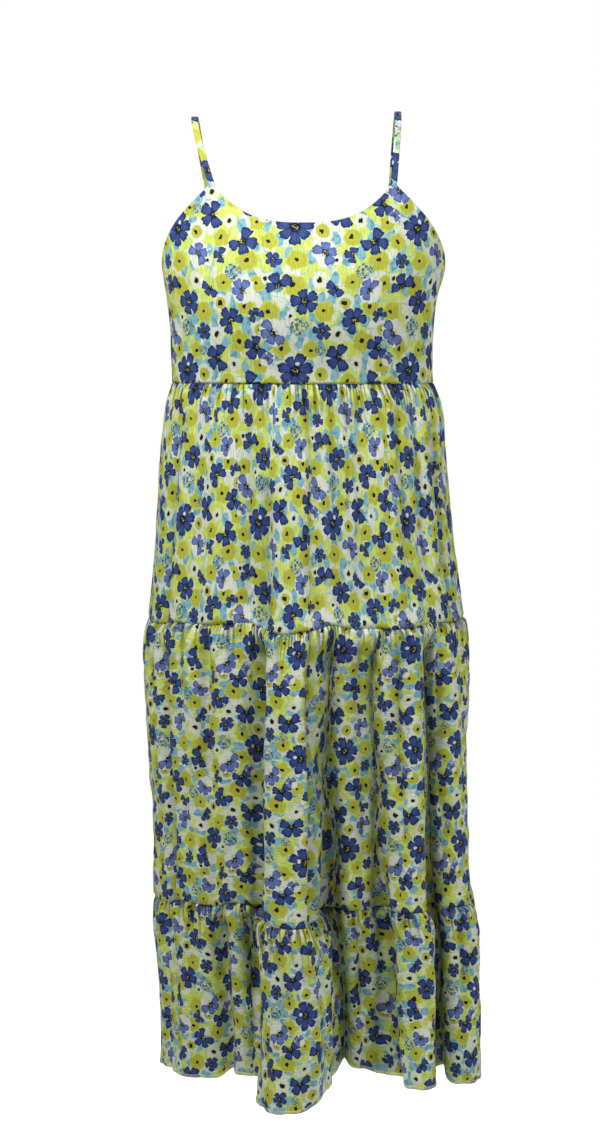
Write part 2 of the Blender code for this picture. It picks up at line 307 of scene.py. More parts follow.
# Straps, as in the solids
STRAP_WIDTH = 0.0078
STRAP_THICKNESS = 0.0015
STRAP_TOP_LEFT = (-0.1255, -0.0060)
STRAP_TOP_RIGHT = (0.1145, 0.0)
STRAP_SECTIONS = 90
STRAP_RING = 16
StrapRow = namedtuple("StrapRow", "share lean y z")
STRAP_ROWS = named(
    StrapRow,
    (0.00, 0.00, -0.059, -0.0897),
    (0.15, 0.45, -0.050, -0.0560),
    (0.30, 0.85, -0.034, -0.0220),
    (0.42, 1.00, -0.014, -0.0040),
    (0.50, 1.00, 0.003, -0.0008),
    (0.60, 0.95, 0.025, -0.0100),
    (0.72, 0.75, 0.053, -0.0470),
    (0.86, 0.35, 0.076, -0.1120),
    (1.00, 0.00, 0.080, -0.1757),
)
STRAP_TUCK = 0.0010
STRAP_TUCK_DEPTH = 0.007
STRAP_WAVES = Waves(0.0003, 0.02, 1)
STRAP_SEED = 71
STRAP_PRINT_LEFT = (0.044, 0.10)
STRAP_PRINT_RIGHT = (0.044, 0.02)

# Section of a sewn band: 1 is an ellipse, and less is squarer
BAND_ROUNDING = 0.7
STRAP_ROUNDING = 0.6

# Rolled hem: corners of its section, size, how far it hangs below the cloth, and waves
HEM_RING = 10
HEM_THICKNESS = 0.0019
HEM_HEIGHT = 0.0042
HEM_DROP = 0.0006
HEM_WAVES = Waves(0.00012, 3, 1)
HEM_SEED = 5

# The map named OFBake: its margin, the width of each side, and the rim's strip
BAKE_EDGE = 0.005
BAKE_SPAN = 0.49
BAKE_RIM = BAKE_EDGE * 0.4

# Print: its repeat, and two charts of motifs in millimetres from the repeat's corner
REPEAT_X = 0.144
REPEAT_Y = 0.165
MOST_PETALS = 8
KINDS = 4
Blossom = namedtuple("Blossom", "x y radius turn petals kind open", defaults=(1,))
COBALT, PALE, FLORETS, SPOTTED = 0, 1, 2, 3
BLUE_CHART = named(
    Blossom,
    (36, 46, 21, 12, 7, SPOTTED),
    (88, 62, 18, 75, 5, COBALT, 0.80),
    (122, 30, 17, 205, 5, COBALT, 0.72),
    (68, 92, 11, 30, 5, COBALT),
    (12, 90, 17, 130, 6, PALE, 0.60),
    (106, 104, 18, 10, 6, COBALT, 0.80),
    (136, 74, 16, 92, 5, COBALT, 0.78),
    (68, 16, 15, 300, 5, PALE, 0.80),
    (48, 126, 17, 250, 5, COBALT),
    (82, 142, 13, 160, 5, COBALT, 0.70),
    (18, 142, 17, 40, 5, COBALT, 0.62),
    (122, 138, 15, 64, 6, PALE, 0.60),
    (98, 14, 11, 80, 4, COBALT, 0.80),
    (136, 110, 10, 10, 5, COBALT, 0.80),
    (42, 96, 12, 0, 5, FLORETS),
    (112, 160, 11, 0, 5, FLORETS),
    (12, 8, 10, 200, 5, COBALT),
    (4, 60, 9, 320, 4, PALE, 0.75),
    (66, 70, 7, 10, 4, FLORETS),
)
YELLOW, WHITE, RINGED = 0, 1, 2
YELLOW_CHART = named(
    Blossom,
    (8, 30, 13, 0, 5, YELLOW),
    (38, 8, 15, 40, 5, YELLOW),
    (66, 42, 15, 80, 6, RINGED),
    (98, 34, 13, 20, 5, YELLOW),
    (128, 8, 16, 65, 6, YELLOW),
    (140, 52, 12, 10, 5, YELLOW),
    (22, 72, 13, 50, 5, YELLOW),
    (56, 70, 13, 15, 5, YELLOW),
    (86, 88, 12, 70, 5, WHITE),
    (116, 80, 16, 35, 6, YELLOW),
    (140, 94, 13, 5, 5, RINGED),
    (8, 114, 15, 25, 5, YELLOW),
    (32, 108, 8, 45, 5, WHITE),
    (70, 114, 15, 60, 6, YELLOW),
    (94, 124, 13, 30, 6, RINGED),
    (124, 120, 13, 10, 5, YELLOW),
    (36, 144, 16, 55, 6, YELLOW),
    (64, 150, 12, 20, 5, WHITE),
    (100, 148, 13, 75, 5, YELLOW),
    (138, 146, 12, 40, 5, YELLOW),
    (4, 152, 8, 0, 5, WHITE),
    (80, 8, 8, 15, 5, WHITE),
    (108, 54, 10, 35, 5, WHITE),
    (18, 52, 8, 60, 5, WHITE),
)


def linear(red, green, blue):
    """A screen colour from 0 to 255 as the light that a shader takes."""
    shares = np.array([red, green, blue]) / 255
    light = np.where(shares <= 0.04045, shares / 12.92, ((shares + 0.055) / 1.055) ** 2.4)
    return (*(float(v) for v in light), 1.0)


LIME = linear(206, 222, 104)
LIME_LIGHT = linear(216, 230, 132)
OLIVE = linear(190, 194, 68)
OLIVE_DEEP = linear(172, 172, 58)
CREAM = linear(225, 231, 214)
SKETCH = linear(176, 180, 172)
AQUA = linear(138, 190, 202)
AQUA_DEEP = linear(104, 158, 178)
COBALT_BLUE = linear(25, 40, 99)
NAVY = linear(12, 18, 46)
PERIWINKLE = linear(78, 101, 164)
PERIWINKLE_LIGHT = linear(132, 148, 206)
INK = linear(24, 28, 30)
POLLEN = linear(222, 222, 90)
FADED_COLOUR = linear(214, 222, 180)

# How far a drawn line wavers, and how far it slips along the crepe's crinkles
HAND_WAVER = 0.0042
CREPE_SLIP = 0.0022

# Finish of the crepe, how much its wrong side is faded, and its fine relief
CREPE_FINISH = {
    "Roughness": 0.72,
    "Specular IOR Level": 0.15,
    "Sheen Weight": 0.03,
    "Sheen Roughness": 0.5,
}
FADED = 0.45
BUMP_STRENGTH = 0.55
BUMP_DISTANCE = 0.0009

# Camera at the photograph's place, its tilt in degrees, and its lens
CAMERA_PLACE = (-0.0012, -3.3, -0.257)
CAMERA_DOWN = 4.80
FOCAL_LENGTH = 59.03
SENSOR_HEIGHT = 24

# Lamps, and the studio's own light
Light = namedtuple("Light", "name location target size power")
LIGHTS = named(
    Light,
    ("key", (-0.60, -0.92, 0.86), (0, 0, -0.22), 0.5, 26.0),
    ("fill", (1.9, -0.9, 0.5), (0, 0, -0.6), 1.2, 20),
    ("rim", (0.3, 2.2, 1.4), (0, 0, -0.4), 1.4, 20),
)
ROOM_LIGHT = 0.10

FLOOR_Z = -1.42
FLOOR_RADIUS = 1.6
FLOOR_CORNERS = 128
FLOOR_COLOUR = (0.78, 0.78, 0.78, 1)
FLOOR_ROUGHNESS = 0.6


# Numbers read from tables


def read(rows, place, column):
    """A column of a table between its rows, on a cubic that passes through every row."""
    places = np.array([abs(row[0]) for row in rows])
    values = np.array([getattr(row, column) for row in rows])
    last = len(rows) - 1
    place = np.clip(np.abs(place), places[0], places[last])
    before = np.maximum(np.arange(last + 1) - 1, 0)
    after = np.minimum(np.arange(last + 1) + 1, last)
    slopes = (values[after] - values[before]) / (places[after] - places[before])
    i = np.clip(np.searchsorted(places, place, side="right") - 1, 0, last - 1)
    span = places[i + 1] - places[i]
    t = (place - places[i]) / span
    rise = values[i + 1] - values[i]
    ends = slopes[i] * (1 - t) - slopes[i + 1] * t
    return values[i] + rise * t * t * (3 - 2 * t) + span * t * (1 - t) * ends


def down(z, at_1, at_2, at_3, at_hem):
    """A value at a height, straight between those given at the three seams and the hem."""
    return np.interp(-z, (-SEAM_1, -SEAM_2, -SEAM_3, -HEM), (at_1, at_2, at_3, at_hem))


def ease(t):
    t = np.clip(t, 0, 1)
    return t * t * (3 - 2 * t)


def form(behind, at, z):
    """Points of the plain worn form, and the level directions along it and out of it."""
    half_width = read(SECTIONS, z, "half_width")
    depth = read(SECTIONS, z, "back" if behind else "front")
    side = -1 if behind else 1
    x = read(SECTIONS, z, "centre") + side * half_width * np.sin(at)
    y = -side * depth * np.cos(at)
    along = np.stack([side * half_width * np.cos(at), side * depth * np.sin(at)], -1)
    along /= np.linalg.norm(along, axis=-1, keepdims=True)
    out = np.stack([along[..., 1], -along[..., 0]], -1)
    return x, y, along, out


def hung(behind, at, z):
    """Points of a tier's cloth: the worn form with its hanging folds."""
    x, y, along, out = form(behind, at, z)
    stand, spread, lift = np.zeros_like(x), np.zeros_like(x), np.zeros_like(x)
    for fold in BACK_FOLDS if behind else FRONT_FOLDS:
        place = down(z, fold.at_2, fold.at_2, fold.at_3, fold.at_hem)
        q = np.clip((np.degrees(at) - place) / fold.half_width, -1, 1)
        crest = (1 - np.abs(q) ** CREST_FLAT) ** CREST_FOOT
        depth = down(z, 0, fold.out_2, fold.out_3, fold.out_hem)
        stand += crest * depth
        spread += np.sin(math.pi * q) * fold.bulge * depth / fold.out_hem
        lift += crest * down(z, 0, fold.lift_2, fold.lift_3, fold.lift_hem)
    x = x + out[..., 0] * stand + along[..., 0] * spread
    y = y + out[..., 1] * stand + along[..., 1] * spread
    return np.stack([x, y, z + lift], -1)


def normals_of(points):
    """The direction out of the cloth at each point of a grid, top row first."""
    across = np.gradient(points, axis=1)
    downwards = np.gradient(points, axis=0)
    normal = np.cross(downwards, across)
    return normal / np.linalg.norm(normal, axis=-1, keepdims=True)


def lengths_along(points):
    """Distance along each row of a grid, from its first point to each point."""
    steps = np.linalg.norm(np.diff(points, axis=1), axis=-1)
    return np.concatenate([steps[:, :1] * 0, np.cumsum(steps, axis=1)], axis=1)


def soft_noise(u, v, waves, seed):
    """Smooth random waves of the given size."""
    a, b = u / waves.width, v / waves.height
    a, b = a - a.min(), b - b.min()
    table = np.random.RandomState(seed).uniform(-1, 1, (int(a.max()) + 2, int(b.max()) + 2))
    i, j = a.astype(int), b.astype(int)
    s, t = ease(a - i), ease(b - j)
    upper = table[i, j] * (1 - s) + table[i + 1, j] * s
    lower = table[i, j + 1] * (1 - s) + table[i + 1, j + 1] * s
    return waves.out * (upper * (1 - t) + lower * t)


def gathers(u, below, kind, seed):
    """Height of the ridges that a gathered seam sends down the cloth."""
    chance = np.random.RandomState(seed)
    total = np.zeros_like(u * below)
    place = u.min() + kind.spacing / 2
    while place < u.max():
        height = chance.uniform(*kind.height)
        width = chance.uniform(*kind.width)
        reach = chance.uniform(*kind.reach)
        drift = chance.uniform(-kind.drift, kind.drift)
        middle = place + drift * below
        spread = width * (1 + GATHER_SPREAD * below / kind.reach[1])
        rise = (1 - np.exp(-below / kind.onset)) * np.exp(-((below / reach) ** 2))
        ridge = height * rise * np.exp(-(((u - middle) / spread) ** 2))
        total = np.maximum(total, ridge)
        place += kind.spacing * chance.uniform(*GATHER_STEPS)
    return total


def away_from(crease, at, z):
    """How far along the cloth each point is from a crease's line, less than 0 on its left."""
    share = (crease.top - z) / (crease.top - crease.foot)
    middle = crease.at_top + (crease.at_foot - crease.at_top) * share
    middle = middle + CREASE_SWAY * np.sin(z * CREASE_WAVES + crease.at_top)
    return (at - np.radians(middle)) * read(SECTIONS, z, "half_width") * OVAL_SHARE


def creases(behind, at, z):
    """Depth of the listed troughs at each point, as a negative height."""
    total = np.zeros_like(z)
    for crease in BACK_CREASES if behind else FRONT_CREASES:
        away = away_from(crease, at, z)
        reach = np.where(away < 0, crease.left, crease.right)
        starts = ease((crease.top - z) / CREASE_FADE)
        ends = ease((z - crease.foot) / CREASE_FADE)
        total -= crease.depth * starts * ends / (1 + (away / reach) ** 2) ** TROUGH_POWER
    return total


# Meshes


def placed(name, data):
    """A new object in the scene."""
    made = bpy.data.objects.new(name, data)
    bpy.context.scene.collection.objects.link(made)
    return made


def built(name, points, faces, materials, maps):
    """A smooth piece. Each of its maps holds a place for every corner of its faces."""
    mesh = bpy.data.meshes.new(name)
    mesh.from_pydata(points.reshape(-1, 3).tolist(), [], faces)
    for material in materials:
        mesh.materials.append(material)
    for map_name, places in maps:
        mesh.uv_layers.new(name=map_name).data.foreach_set("uv", places.ravel())
    mesh.polygons.foreach_set("use_smooth", np.ones(len(faces), bool))
    mesh.update()
    mesh.validate()
    return placed(name, mesh)


def bake_places(rows, columns, corners, rim_start):
    """A map of a shell without overlaps: right side, wrong side, and its rim around the first."""
    across, up = np.meshgrid(np.linspace(0, 1, columns), np.linspace(1, 0, rows))
    outer = np.stack([BAKE_EDGE + across * BAKE_SPAN, BAKE_EDGE + up * (1 - 2 * BAKE_EDGE)], -1)
    outer = outer.reshape(-1, 2)
    places = np.concatenate([outer, outer + (0.5, 0)])[corners]
    rim = places[rim_start:].reshape(-1, 4, 2)
    for outer_corner, inner_corner in ((1, 2), (0, 3)):
        away = rim[:, outer_corner] - (0.25, 0.5)
        rim[:, inner_corner] = rim[:, outer_corner] + np.sign(away) * BAKE_RIM
    places[rim_start:] = rim.reshape(-1, 2)
    return places


def shell(name, points, thickness, maps, materials):
    """A closed thin sheet from a grid of outer points, top row first, with a material for its
    right side and one for its wrong side."""
    rows, columns = points.shape[:2]
    inner = points - normals_of(points) * np.broadcast_to(thickness, (rows, columns))[..., None]
    count = rows * columns
    index = np.arange(count).reshape(rows, columns)
    a, b, c, d = index[:-1, :-1], index[1:, :-1], index[1:, 1:], index[:-1, 1:]
    right_side = np.stack([a, b, c, d], -1).reshape(-1, 4)
    wrong_side = right_side[:, ::-1] + count
    border = np.concatenate([index[0, ::-1], index[1:, 0], index[-1, 1:], index[-2:0:-1, -1]])
    following = np.roll(border, -1)
    rim = np.stack([following, border, border + count, following + count], -1)
    faces = np.concatenate([right_side, wrong_side, rim])
    corners = faces.ravel()
    maps = [(kind, np.concatenate([places.reshape(-1, 2)] * 2)[corners]) for kind, places in maps]
    maps.append(("OFBake", bake_places(rows, columns, corners, 8 * len(right_side))))
    sheet = built(name, np.stack([points, inner]), faces.tolist(), materials, maps)
    side = np.zeros(len(faces), int)
    side[len(right_side) : 2 * len(right_side)] = 1
    sheet.data.polygons.foreach_set("material_index", side)
    return sheet


def loft(name, rings, cloth_uv, material):
    """A closed band through rings of points, capped at both ends."""
    count, corners = rings.shape[:2]
    index = np.arange(count * corners).reshape(count, corners)
    following = np.roll(index, -1, axis=1)
    sides = np.stack([index[:-1], index[1:], following[1:], following[:-1]], -1).reshape(-1, 4)
    faces = sides.tolist() + [index[0].tolist(), index[-1, ::-1].tolist()]
    places = cloth_uv.reshape(-1, 2)[np.concatenate(faces)]
    return built(name, rings, faces, [material], [("cloth", places)])


def band(middle, across, out, size, waves):
    """Rings of a flat band with rounded edges, and how far across it each corner lies."""
    width, thickness, rounding, corners = size
    turns = np.linspace(0, WHOLE_TURN, corners, endpoint=False)
    sine, cosine = np.sin(turns), np.cos(turns)
    flat = width / 2 * np.sign(cosine) * np.abs(cosine) ** BAND_ROUNDING
    thick = thickness / 2 * np.sign(sine) * np.abs(sine) ** rounding
    out = out[:, None] * (thick[:, None] + waves[:, None, None])
    return middle[:, None] + across[:, None] * flat[:, None] + out, flat


def settle(piece, node):
    """The piece stands for a solid and rides on the one body."""
    if node:
        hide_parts(node)
    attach(piece, BODY)
    return piece


# Tiers


def tier_columns(behind, tier):
    """Bearings of a tier's columns, closer together where the folds take up more cloth."""
    fine = np.linspace(-SIDE_END, SIDE_END, FINE_BEARINGS)
    level = np.full_like(fine, tier.bottom + COLUMN_LEVEL * (tier.top - tier.bottom))
    length = lengths_along(hung(behind, fine, level)[None])[0]
    angle_share = (fine + SIDE_END) / (2 * SIDE_END)
    share = (1 - ANGLE_SHARE) * length / length[-1] + ANGLE_SHARE * angle_share
    return np.interp(np.linspace(0, 1, TIER_COLUMNS + 1), share, fine)


def gathered_relief(tier, behind, u, below, z):
    """How far a tier's cloth stands out in gathers, puffs and random waves."""
    seed = tier.seed + (BACK_SEED if behind else 0)
    short = PUFFED_GATHERS if tier.sideways else FINE_GATHERS
    long = DEEP_GATHERS if tier.sideways else LONG_GATHERS
    relief = gathers(u, below, short, seed) + gathers(u, below, long, seed + 1)
    relief += tier.puff * (1 - np.exp(-below / PUFF_REACH)) * np.exp(-below / PUFF_FADE)
    relief -= relief.mean(axis=1, keepdims=True) * GATHERS_SUNK
    from_side = np.minimum(u, u.max() - u)
    relief *= SIDE_SHARE + (1 - SIDE_SHARE) * ease(from_side / SIDE_REACH)
    relief += soft_noise(u, z, CRUMPLES, seed + 2)
    relief += soft_noise(u, z, RIPPLES, seed + 3)
    if tier.sideways:
        relief += soft_noise(u + z * CRINKLE_SLANT, z, CRINKLES, seed + 4)
    return relief


def tier_surface(tier, behind):
    """The grid of a tier's outer points, and each one's depth below the seam, bearing and height."""
    at = tier_columns(behind, tier)
    share = np.linspace(0, 1, tier.rows + 1) ** ROW_CROWDING
    z = tier.top + (tier.bottom - tier.top) * share
    z = np.concatenate([[tier.top + SEAM_ALLOWANCE], z])
    at, z = np.meshgrid(at, z)
    base = hung(behind, at, z)
    base[0] = base[1] + (0, 0, SEAM_ALLOWANCE)
    u = np.broadcast_to(lengths_along(base)[len(z) // 3], z.shape)
    below = np.maximum(tier.top - z, 0)
    above = z - tier.bottom
    relief = gathered_relief(tier, behind, u, below, z)
    if tier.bottom > HEM:
        relief *= ease(above / PUCKER_UP)
    relief *= 1 - np.exp(-below / START_TUCK_REACH)
    folded = creases(behind, at, z)
    folded[0] = folded[1]
    relief = (relief + folded) * ease(np.minimum(u, u.max() - u) / SIDE_CALM)
    if tier.bottom > HEM:
        relief -= EDGE_TUCK * np.exp(-((above / START_TUCK_REACH) ** 2))
    relief -= START_TUCK * np.exp(-((below / START_TUCK_REACH) ** 2))
    relief[0] -= CLOTH_THICKNESS
    points = base + normals_of(base) * relief[..., None]
    if not behind:
        for wave in SEAM_WAVES:
            beside = np.exp(-(((np.degrees(at) - wave.at) / wave.reach) ** 2))
            points[..., 2] += wave.rise * beside * np.exp(-(((z - wave.seam) / SEAM_WAVE_REACH) ** 2))
    if tier.bottom == HEM:
        hem_share = ease(1 - above / HEM_NOTCH_REACH)
        points[..., 2] += HEM_NOTCH * np.maximum(-relief, 0) * hem_share
    return points, below, at, z


def tier_uv(points, below, tier, behind, at, z):
    """Coordinates of a tier's print, which jumps in the creases for the cloth folded away there."""
    along = lengths_along(points)[len(points) // 2]
    taken = np.broadcast_to(along, at.shape).copy()
    middle = (tier.top + tier.bottom) / 2
    for crease in BACK_CREASES if behind else FRONT_CREASES:
        if crease.top > middle > crease.foot:
            hidden = max(crease.depth - SHALLOW, 0) * FOLDED_AWAY
            taken += hidden * ease(away_from(crease, at, z) / FOLD_LINE + 0.5)
    u = (taken - taken[:, :1]) / (taken[0, -1] - taken[0, 0]) * tier.printed[0]
    v = -below / (tier.top - tier.bottom) * tier.printed[1]
    if tier.sideways:
        u, v = v, -u
    return np.stack([u + tier.start[0], v + tier.start[1]], -1)


def make_tier(tier, behind, materials):
    """The front or back of a tier, its outer points and their places in the print."""
    name = tier.name + ("_back" if behind else "_front")
    points, below, at, z = tier_surface(tier, behind)
    cloth_uv = tier_uv(points, below, tier, behind, at, z)
    width = np.broadcast_to(lengths_along(points)[len(points) // 2], below.shape)
    pleat_uv = np.stack([width, PLEATED + below], -1)
    # Painted shade: how much the colour is darkened where a crease lies deep, kept in a map
    depth = np.clip(-creases(behind, at, z) / HOLLOW_DEPTH, 0, 1)
    painted_shade_places = np.stack([depth**HOLLOW_EDGE * PAINTED_CREASE_SHADE, depth * 0], -1)
    maps = (("cloth", cloth_uv), ("pleats", pleat_uv), ("hollow", painted_shade_places))
    panel = shell(name + "_cloth", points, CLOTH_THICKNESS, maps, materials)
    return settle(panel, name), points, cloth_uv


def make_hem(points, cloth_uv, name, materials):
    """The narrow rolled hem along a tier's last row: a soft band that wraps the cloth's edge."""
    foot = points[-1]
    normal = normals_of(points)[-1]
    up = points[-4] - foot
    up /= np.linalg.norm(up, axis=1, keepdims=True)
    centre = foot + up * (HEM_HEIGHT / 2 - HEM_DROP) - normal * CLOTH_THICKNESS / 2
    places = np.arange(len(foot)) * 1.0
    waves = soft_noise(places, places * 0, HEM_WAVES, HEM_SEED)
    size = (HEM_HEIGHT, HEM_THICKNESS, BAND_ROUNDING, HEM_RING)
    rings, tall = band(centre, up, normal, size, waves)
    rings_uv = np.repeat(cloth_uv[-1][:, None], HEM_RING, axis=1)
    rings_uv[..., 0] += tall
    return settle(loft(name, rings, rings_uv, materials[1]), None)


# Bodice and straps


def bearing_of(x, behind, z):
    """The angle from the panel's middle at which the worn form has this x."""
    offset = (x - float(read(SECTIONS, z, "centre"))) / float(read(SECTIONS, z, "half_width"))
    return math.asin(-offset if behind else offset)


def strap_seat(x, behind, z):
    """The two bearings between which a strap's end sits, the nearer to the middle first."""
    sides = (x - STRAP_WIDTH / 2, x + STRAP_WIDTH / 2)
    return sorted((bearing_of(side, behind, z) for side in sides), key=abs)


def edge_height(edge, at, seat):
    """Height of the bodice's upper edge: neckline inside the strap's seat, armhole outside it."""
    inner, outer = abs(seat[0]), abs(seat[1])
    if abs(at) <= inner:
        return edge.middle_z + (edge.point_z - edge.middle_z) * (abs(at) / inner) ** edge.curve
    if abs(at) <= outer:
        return edge.point_z
    t = min((abs(math.sin(at)) - math.sin(outer)) / (1 - math.sin(outer)), 1)
    hook = 1 - math.sqrt(1 - t**ARMHOLE_HOOK)
    slope = ARMHOLE_SLANT * t + (1 - ARMHOLE_SLANT) * hook
    return edge.point_z + (UNDERARM_Z - edge.point_z) * slope


def make_bodice(behind, materials):
    """The front or back of the bodice, smooth, with its edges turned in."""
    panel = BODICE_BACK if behind else BODICE_FRONT
    first_x, last_x = panel.left_x, panel.right_x
    if behind:
        first_x, last_x = last_x, first_x
    first = strap_seat(first_x, behind, panel.point_z)
    last = strap_seat(last_x, behind, panel.point_z)
    stops = (-SIDE_END, first[1], first[0], last[0], last[1], SIDE_END)
    counts = (ARMHOLE_COLUMNS, SEAT_COLUMNS, NECK_COLUMNS, SEAT_COLUMNS, ARMHOLE_COLUMNS)
    runs = [np.linspace(a, b, n, endpoint=False) for a, b, n in zip(stops, stops[1:], counts)]
    columns = np.concatenate(runs + [[SIDE_END]])
    top = np.array([edge_height(panel, at, last if at > 0 else first) for at in columns])
    share = (np.linspace(0, 1, BODICE_ROWS + 1) ** BODICE_CROWDING)[:, None]
    z = top + (SEAM_1 - top) * share
    x, y, _, _ = form(behind, np.broadcast_to(columns, z.shape), z)
    base = np.stack([x, y, z], -1)
    u = np.broadcast_to(lengths_along(base)[-1], z.shape)
    from_edge = top - z
    above = z - SEAM_1
    calm = ease(from_edge / CALM_EDGE) * ease(above / CALM_WAIST)
    calm *= ease(np.minimum(u, u.max() - u) / CALM_SIDE)
    relief = soft_noise(u, z, BODICE_WAVES, panel.seed) * calm
    relief += soft_noise(u, z, BODICE_CRINKLES, panel.seed + 1) * calm
    turn = np.exp(-((from_edge / EDGE_TURN) ** 4))
    relief += EDGE_RISE * turn
    relief -= EDGE_GROOVE * np.exp(-(((from_edge - EDGE_GROOVE_AT) / EDGE_GROOVE_REACH) ** 2))
    relief -= EDGE_TUCK * np.exp(-((above / START_TUCK_REACH) ** 2))
    points = base + normals_of(base) * relief[..., None]
    thickness = CLOTH_THICKNESS + (EDGE_THICKNESS - CLOTH_THICKNESS) * turn
    cloth_uv = np.stack([u + panel.start[0], z + panel.start[1]], -1)
    cloth = shell(panel.name + "_cloth", points, thickness, (("cloth", cloth_uv),), materials)
    return settle(cloth, panel.name)


def make_strap(name, front_x, top, back_x, materials):
    """A flat sewn band over the shoulder, with rounded edges, its feet tucked into the bodice."""
    share = np.linspace(0, 1, STRAP_SECTIONS + 1)
    lean = read(STRAP_ROWS, share, "lean")
    end_x = np.where(share < 0.5, front_x, back_x)
    x = end_x + (top[0] - end_x) * lean
    z = read(STRAP_ROWS, share, "z") + top[1] * lean
    middle = np.stack([x, read(STRAP_ROWS, share, "y"), z], -1)
    tuck_front = middle[0] + (0, STRAP_TUCK, -STRAP_TUCK_DEPTH)
    tuck_back = middle[-1] + (0, -STRAP_TUCK, -STRAP_TUCK_DEPTH)
    middle = np.concatenate([[tuck_front], middle, [tuck_back]])
    run = np.gradient(middle, axis=0)
    out = np.stack([run[:, 0] * 0, -run[:, 2], run[:, 1]], -1)
    out /= np.linalg.norm(out, axis=1, keepdims=True)
    length = lengths_along(middle[None])[0]
    across = np.broadcast_to((1.0, 0, 0), middle.shape)
    waves = soft_noise(length, length * 0, STRAP_WAVES, STRAP_SEED)
    size = (STRAP_WIDTH, STRAP_THICKNESS, STRAP_ROUNDING, STRAP_RING)
    rings, flat = band(middle, across, out, size, waves)
    start = STRAP_PRINT_RIGHT if front_x > 0 else STRAP_PRINT_LEFT
    rings_uv = np.stack(np.broadcast_arrays(flat[None] + start[0], length[:, None] + start[1]), -1)
    return settle(loft(name + "_band", rings, rings_uv, materials[0]), name)


# Materials


class Value:
    """A number that flows between nodes, with the usual signs of arithmetic."""

    def __init__(self, graph, socket):
        self.graph = graph
        self.socket = socket

    def __add__(self, other):
        return self.graph.math("ADD", self, other)

    def __sub__(self, other):
        return self.graph.math("SUBTRACT", self, other)

    def __rsub__(self, other):
        return self.graph.math("SUBTRACT", other, self)

    def __mul__(self, other):
        return self.graph.math("MULTIPLY", self, other)

    def __truediv__(self, other):
        return self.graph.math("DIVIDE", self, other)

    def __rtruediv__(self, other):
        return self.graph.math("DIVIDE", other, self)

    def __pow__(self, other):
        return self.graph.math("POWER", self, other)

    def __abs__(self):
        return self.graph.math("ABSOLUTE", self)


class Graph:
    """Short names for the nodes of one tree."""

    def __init__(self, tree):
        self.tree = tree

    def node(self, kind, *inputs, **settings):
        """A new node with these settings, whose first inputs are fed in their order."""
        made = self.tree.nodes.new(kind)
        for name, value in settings.items():
            setattr(made, name, value)
        for socket, value in zip(made.inputs, inputs):
            self.feed(socket, value)
        return made

    def feed(self, socket, value):
        """Gives an input a number, a colour or what flows out of another node."""
        if isinstance(value, Value):
            value = value.socket
        if isinstance(value, bpy.types.NodeSocket):
            self.tree.links.new(value, socket)
        else:
            socket.default_value = value

    def math(self, operation, *values, clamp=False):
        made = self.node("ShaderNodeMath", *values, operation=operation, use_clamp=clamp)
        return Value(self, made.outputs[0])

    def larger(self, first, second):
        return self.math("MAXIMUM", first, second)

    def vector(self, operation, *values):
        made = self.node("ShaderNodeVectorMath", *values, operation=operation)
        if operation in ("LENGTH", "DISTANCE"):
            return Value(self, made.outputs["Value"])
        return made.outputs["Vector"]

    def choose(self, share, first, second, kind="RGBA"):
        """The first where the share is 0 and the second where it is 1."""
        made = self.node("ShaderNodeMix", share, data_type=kind, clamp_factor=True)
        sockets = [s for s in made.inputs if s.type == kind and s.name in ("A", "B")]
        self.feed(sockets[0], first)
        self.feed(sockets[1], second)
        return next(s for s in made.outputs if s.type == kind)

    def step(self, value, low, high):
        """0 below low, 1 above high, and a soft step between them."""
        made = self.node("ShaderNodeMapRange", value, low, high, interpolation_type="SMOOTHSTEP")
        return Value(self, made.outputs["Result"])

    def fall(self, value, low, high):
        """1 below low, 0 above high, and a soft step between them."""
        return 1 - self.step(value, low, high)

    def noise_node(self, vector, scale, detail, roughness):
        made = self.node("ShaderNodeTexNoise", vector, noise_dimensions="3D")
        made.inputs["Scale"].default_value = scale
        made.inputs["Detail"].default_value = detail
        made.inputs["Roughness"].default_value = roughness
        return made

    def noise(self, vector, scale, detail=2.0, roughness=0.5):
        return Value(self, self.noise_node(vector, scale, detail, roughness).outputs["Fac"])

    def cells(self, vector, scale, randomness=1.0):
        """How far a point is from the middle of its random cell, and a share drawn for the cell."""
        made = self.node("ShaderNodeTexVoronoi", vector, voronoi_dimensions="2D")
        made.inputs["Scale"].default_value = scale
        made.inputs["Randomness"].default_value = randomness
        return Value(self, made.outputs["Distance"]), self.parts(made.outputs["Color"])[0]

    def parts(self, vector):
        made = self.node("ShaderNodeSeparateXYZ", vector)
        return [Value(self, part) for part in made.outputs]

    def joined(self, x, y, z=0.0):
        return self.node("ShaderNodeCombineXYZ", x, y, z).outputs[0]

    def shaded(self, colour, share):
        """A colour of which only a share is left."""
        return self.vector("MULTIPLY", colour, self.joined(share, share, share))

    def map(self, name):
        return self.node("ShaderNodeUVMap", uv_map=name).outputs[0]


def nearest_motif(g, cloth, chart):
    """Where a point lies in the nearest motif of a repeating chart, in units of its radius, and as
    z the motif's number."""
    share = g.vector("MULTIPLY", cloth, (1 / REPEAT_X, 1 / REPEAT_Y, 0))
    nearest = reach = None
    for number, motif in enumerate(chart):
        centre = (-motif.x / 1000 / REPEAT_X, -motif.y / 1000 / REPEAT_Y, 0)
        size = motif.radius / 1000
        mark = (0, 0, number)
        away = g.vector("WRAP", g.vector("ADD", share, centre), (0.5,) * 3, (-0.5,) * 3)
        place = g.vector("MULTIPLY_ADD", away, (REPEAT_X / size, REPEAT_Y / size, 0), mark)
        distance = g.vector("DISTANCE", place, mark)
        if nearest is None:
            nearest = place
            reach = distance
            continue
        nearest = g.choose(g.math("LESS_THAN", distance, reach), nearest, place, "VECTOR")
        reach = g.math("MINIMUM", reach, distance)
    return nearest


